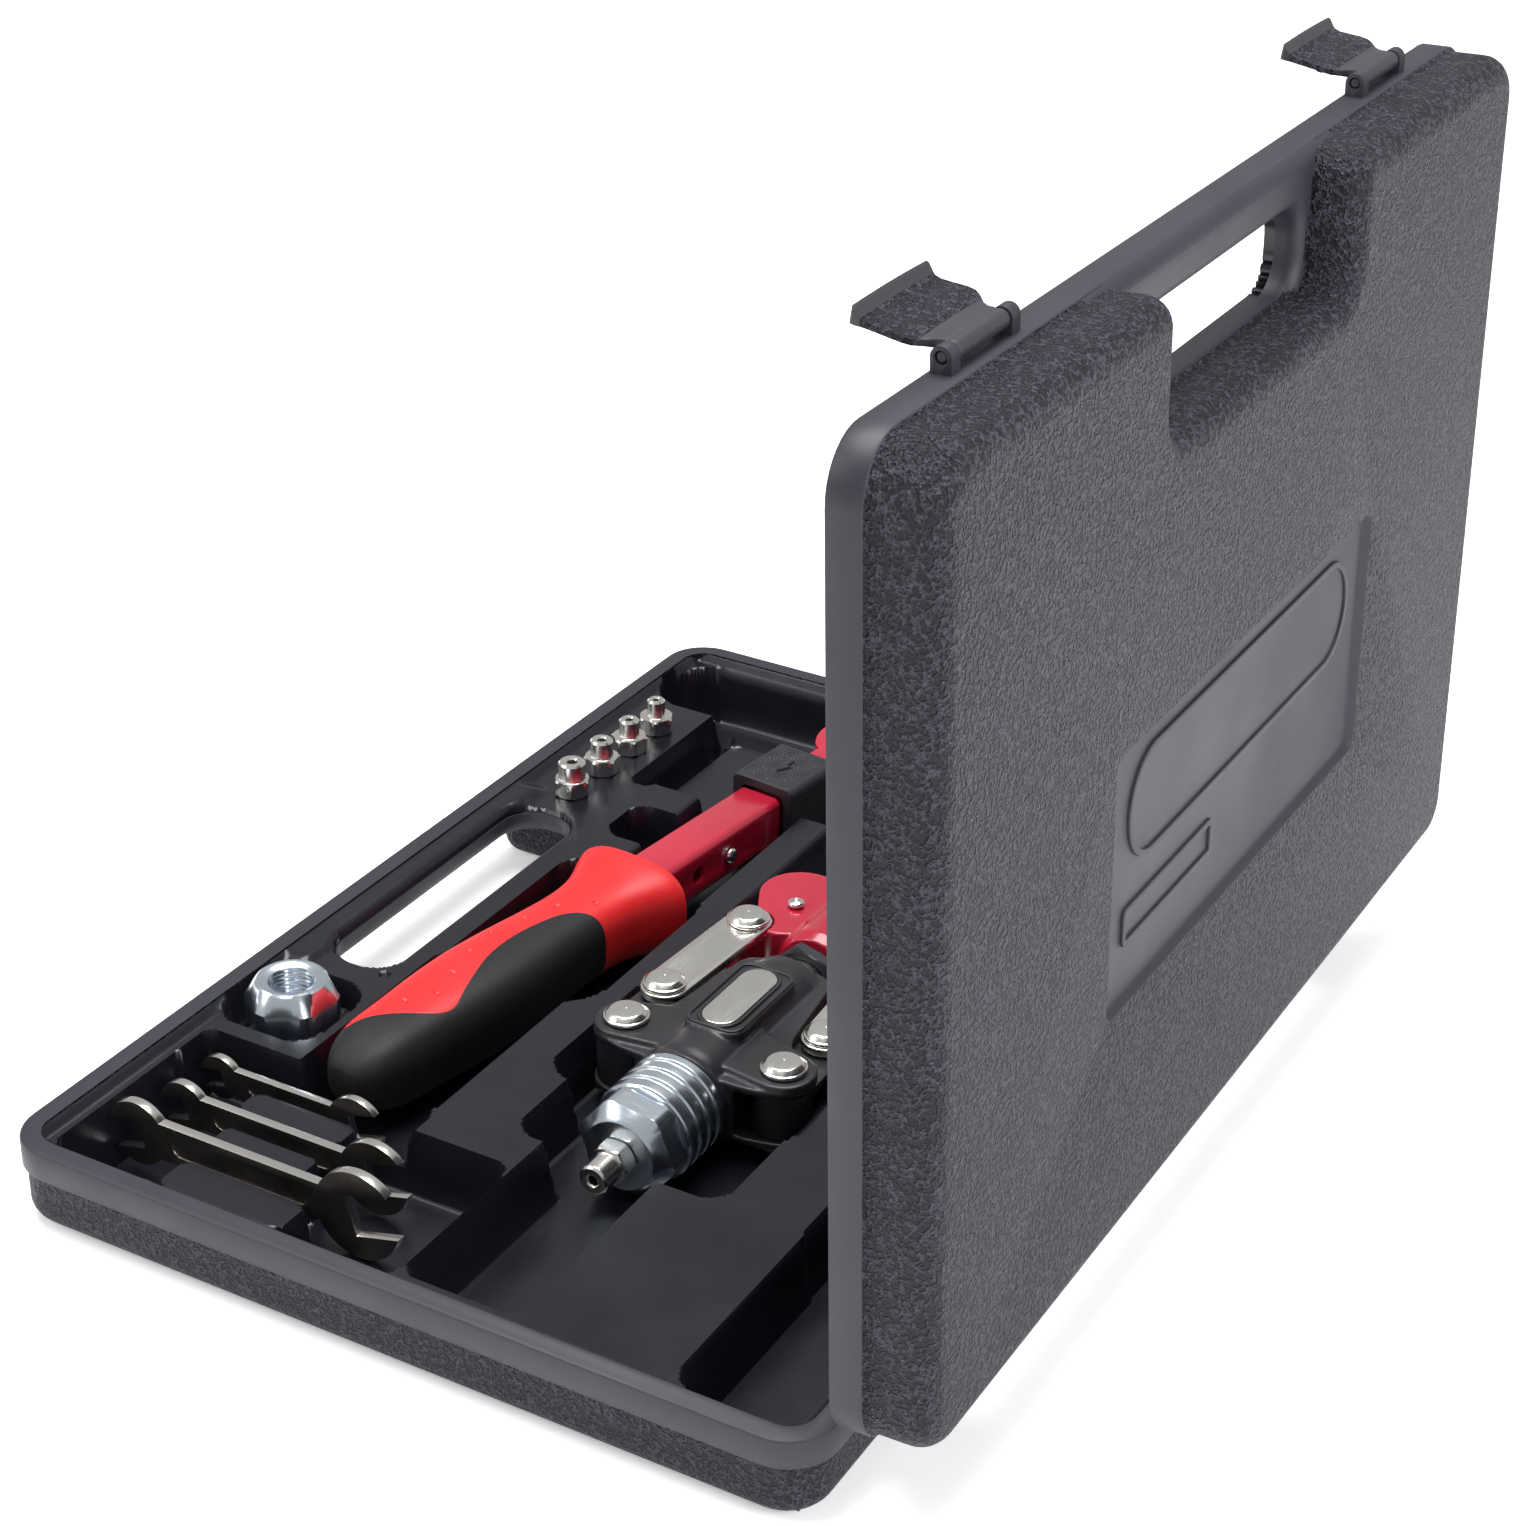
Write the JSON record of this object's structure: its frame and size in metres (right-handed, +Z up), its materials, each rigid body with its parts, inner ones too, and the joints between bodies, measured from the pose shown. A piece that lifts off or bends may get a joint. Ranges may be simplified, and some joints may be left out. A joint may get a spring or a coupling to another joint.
{
  "type": "lever hand riveter set in a carrying case",
  "caption": "Lever hand riveter with telescoping handle arms, spare nosepieces, spanners and a flanged nut, nested in an open hinged carrying case with a handle slot and latches.",
  "frame": {"origin": "centre of the case base's flat underside", "axes": "+X along the lid hinge, -Y towards the carrying handle, +Z up"},
  "size_m": [0.4, 0.3104, 0.3237],
  "materials": {
    "shell_plastic": "pebbled mould texture",
    "tray_plastic": "smooth semi-gloss",
    "latch_plastic": "fine mould texture",
    "crimson_paint": "gloss powder coat",
    "grip_red": "satin soft-touch",
    "grip_black": "matt overmould",
    "cast_black": "satin black casting",
    "nickel": "bright nickel plate",
    "zinc": "turned, bright zinc plate",
    "dark_steel": "blackened steel, bright edges",
    "collar_black": "knurled black nylon"
  },
  "bodies": {
    "case_base": {"base_shell": "shell_plastic", "base_tray": "tray_plastic", "hinge_pin_1": "nickel", "hinge_pin_2": "nickel"},
    "lid": {"lid_shell": "shell_plastic", "lid_liner": "tray_plastic"},
    "latch_left": {"latch_1": "latch_plastic"},
    "latch_right": {"latch_2": "latch_plastic"},
    "riveter": {"head_body": "cast_black", "front_housing": "zinc", "fitted_nosepiece": "nickel", "front_ear_pin": "nickel", "rear_ear_pin": "nickel"},
    "pull_rod": {"pull_tube": "nickel", "jaw_case": "dark_steel", "jaw_upper": "dark_steel", "jaw_lower": "dark_steel", "jaw_spring": "dark_steel", "lock_nut": "collar_black", "crosshead_yoke": "crimson_paint", "front_clamp_screw": "nickel", "rear_clamp_screw": "nickel", "front_yoke_pin": "nickel", "rear_yoke_pin": "nickel"},
    "front_lever": {"front_lever_root": "cast_black", "front_link_pin": "nickel"},
    "front_link": {"front_link_top": "nickel", "front_link_bottom": "nickel"},
    "front_arm": {"front_arm_bar": "crimson_paint"},
    "front_sleeve": {"front_arm_tube": "crimson_paint", "front_grip": "grip_red", "front_grip_overmould": "grip_black"},
    "front_collar": {"front_lock_collar": "collar_black"},
    "front_button": {"front_snap_button": "nickel"},
    "rear_lever": {"rear_lever_root": "cast_black", "rear_link_pin": "nickel"},
    "rear_link": {"rear_link_top": "nickel", "rear_link_bottom": "nickel"},
    "rear_arm": {"rear_arm_bar": "crimson_paint"},
    "rear_sleeve": {"rear_arm_tube": "crimson_paint", "rear_grip": "grip_red", "rear_grip_overmould": "grip_black"},
    "rear_collar": {"rear_lock_collar": "collar_black"},
    "rear_button": {"rear_snap_button": "nickel"},
    "nosepiece_1": {"nosepiece_1": "nickel"},
    "nosepiece_2": {"nosepiece_2": "nickel"},
    "nosepiece_3": {"nosepiece_3": "nickel"},
    "nosepiece_4": {"nosepiece_4": "nickel"},
    "small_wrench": {"small_wrench": "dark_steel"},
    "medium_wrench": {"medium_wrench": "dark_steel"},
    "large_wrench": {"large_wrench": "dark_steel"},
    "flange_nut": {"flange_nut": "zinc"}
  },
  "joints": [
    {"name": "lid_hinge", "type": "hinge", "parent": "case_base", "child": "lid", "pos_m": [0, 0.1431, 0.0292], "axis": [-1, 0, 0], "range_deg": [-88, 0]},
    {"name": "latch_left_pivot", "type": "hinge", "parent": "lid", "child": "latch_left", "pos_m": [-0.134, 0.13763, 0.31488], "axis": [-1, 0, 0], "range_deg": [-10, 80]},
    {"name": "latch_right_pivot", "type": "hinge", "parent": "lid", "child": "latch_right", "pos_m": [0.134, 0.13763, 0.31488], "axis": [-1, 0, 0], "range_deg": [-10, 80]},
    {"name": "riveter_lift", "type": "slide", "parent": "case_base", "child": "riveter", "axis": [0, 0, 1], "range_m": [0, 0.25]},
    {"name": "pull_rod_slide", "type": "slide", "parent": "riveter", "child": "pull_rod", "axis": [1, 0, 0], "range_m": [0, 0.005]},
    {"name": "front_lever_pivot", "type": "hinge", "parent": "riveter", "child": "front_lever", "pos_m": [0.054, -0.0093, 0.022], "axis": [0, 0, 1], "range_deg": [0, 28.01]},
    {"name": "front_link_pivot", "type": "hinge", "parent": "pull_rod", "child": "front_link", "pos_m": [-0.0195, -0.0074, 0.022], "axis": [0, 0, -1], "range_deg": [0, 14.11]},
    {"name": "rear_lever_pivot", "type": "hinge", "parent": "riveter", "child": "rear_lever", "pos_m": [0.054, 0.0477, 0.022], "axis": [0, 0, -1], "range_deg": [0, 28.01]},
    {"name": "rear_link_pivot", "type": "hinge", "parent": "pull_rod", "child": "rear_link", "pos_m": [-0.0195, 0.0458, 0.022], "axis": [0, 0, 1], "range_deg": [0, 14.11]},
    {"name": "front_arm_lift", "type": "slide", "parent": "case_base", "child": "front_arm", "axis": [0, 0, 1], "range_m": [0, 0.25]},
    {"name": "front_arm_extension", "type": "slide", "parent": "front_arm", "child": "front_sleeve", "axis": [0.994, -0.1094, 0], "range_m": [0, 0.04]},
    {"name": "front_collar_release", "type": "slide", "parent": "front_arm", "child": "front_collar", "axis": [0.994, -0.1094, 0], "range_m": [0, 0.005], "stiffness_N_per_m": 300},
    {"name": "front_button_press", "type": "slide", "parent": "front_sleeve", "child": "front_button", "axis": [-0.1094, -0.994, 0], "range_m": [0, 0.002], "stiffness_N_per_m": 500},
    {"name": "rear_arm_lift", "type": "slide", "parent": "case_base", "child": "rear_arm", "axis": [0, 0, 1], "range_m": [0, 0.25]},
    {"name": "rear_arm_extension", "type": "slide", "parent": "rear_arm", "child": "rear_sleeve", "axis": [0.994, 0.1094, 0], "range_m": [0, 0.04]},
    {"name": "rear_collar_release", "type": "slide", "parent": "rear_arm", "child": "rear_collar", "axis": [0.994, 0.1094, 0], "range_m": [0, 0.005], "stiffness_N_per_m": 300},
    {"name": "rear_button_press", "type": "slide", "parent": "rear_sleeve", "child": "rear_button", "axis": [-0.1094, 0.994, 0], "range_m": [0, 0.002], "stiffness_N_per_m": 500},
    {"name": "nosepiece_1_lift", "type": "slide", "parent": "case_base", "child": "nosepiece_1", "axis": [0, 0, 1], "range_m": [0, 0.06]},
    {"name": "nosepiece_2_lift", "type": "slide", "parent": "case_base", "child": "nosepiece_2", "axis": [0, 0, 1], "range_m": [0, 0.06]},
    {"name": "nosepiece_3_lift", "type": "slide", "parent": "case_base", "child": "nosepiece_3", "axis": [0, 0, 1], "range_m": [0, 0.06]},
    {"name": "nosepiece_4_lift", "type": "slide", "parent": "case_base", "child": "nosepiece_4", "axis": [0, 0, 1], "range_m": [0, 0.06]},
    {"name": "small_wrench_lift", "type": "slide", "parent": "case_base", "child": "small_wrench", "axis": [0, 0, 1], "range_m": [0, 0.09]},
    {"name": "medium_wrench_lift", "type": "slide", "parent": "case_base", "child": "medium_wrench", "axis": [0, 0, 1], "range_m": [0, 0.09]},
    {"name": "large_wrench_lift", "type": "slide", "parent": "case_base", "child": "large_wrench", "axis": [0, 0, 1], "range_m": [0, 0.09]},
    {"name": "flange_nut_lift", "type": "slide", "parent": "case_base", "child": "flange_nut", "axis": [0, 0, 1], "range_m": [0, 0.07]}
  ],
  "couplings": [
    {"joint": "pull_rod_slide", "follows": "riveter_lift", "ratio": 0.019704},
    {"joint": "front_lever_pivot", "follows": "riveter_lift", "rad_per_m": 1.9548},
    {"joint": "front_link_pivot", "follows": "riveter_lift", "rad_per_m": 0.98402},
    {"joint": "rear_lever_pivot", "follows": "riveter_lift", "rad_per_m": 1.9548},
    {"joint": "rear_link_pivot", "follows": "riveter_lift", "rad_per_m": 0.98402},
    {"joint": "front_arm_extension", "follows": "front_arm_lift", "ratio": 0.16},
    {"joint": "rear_arm_extension", "follows": "rear_arm_lift", "ratio": 0.16}
  ]
}
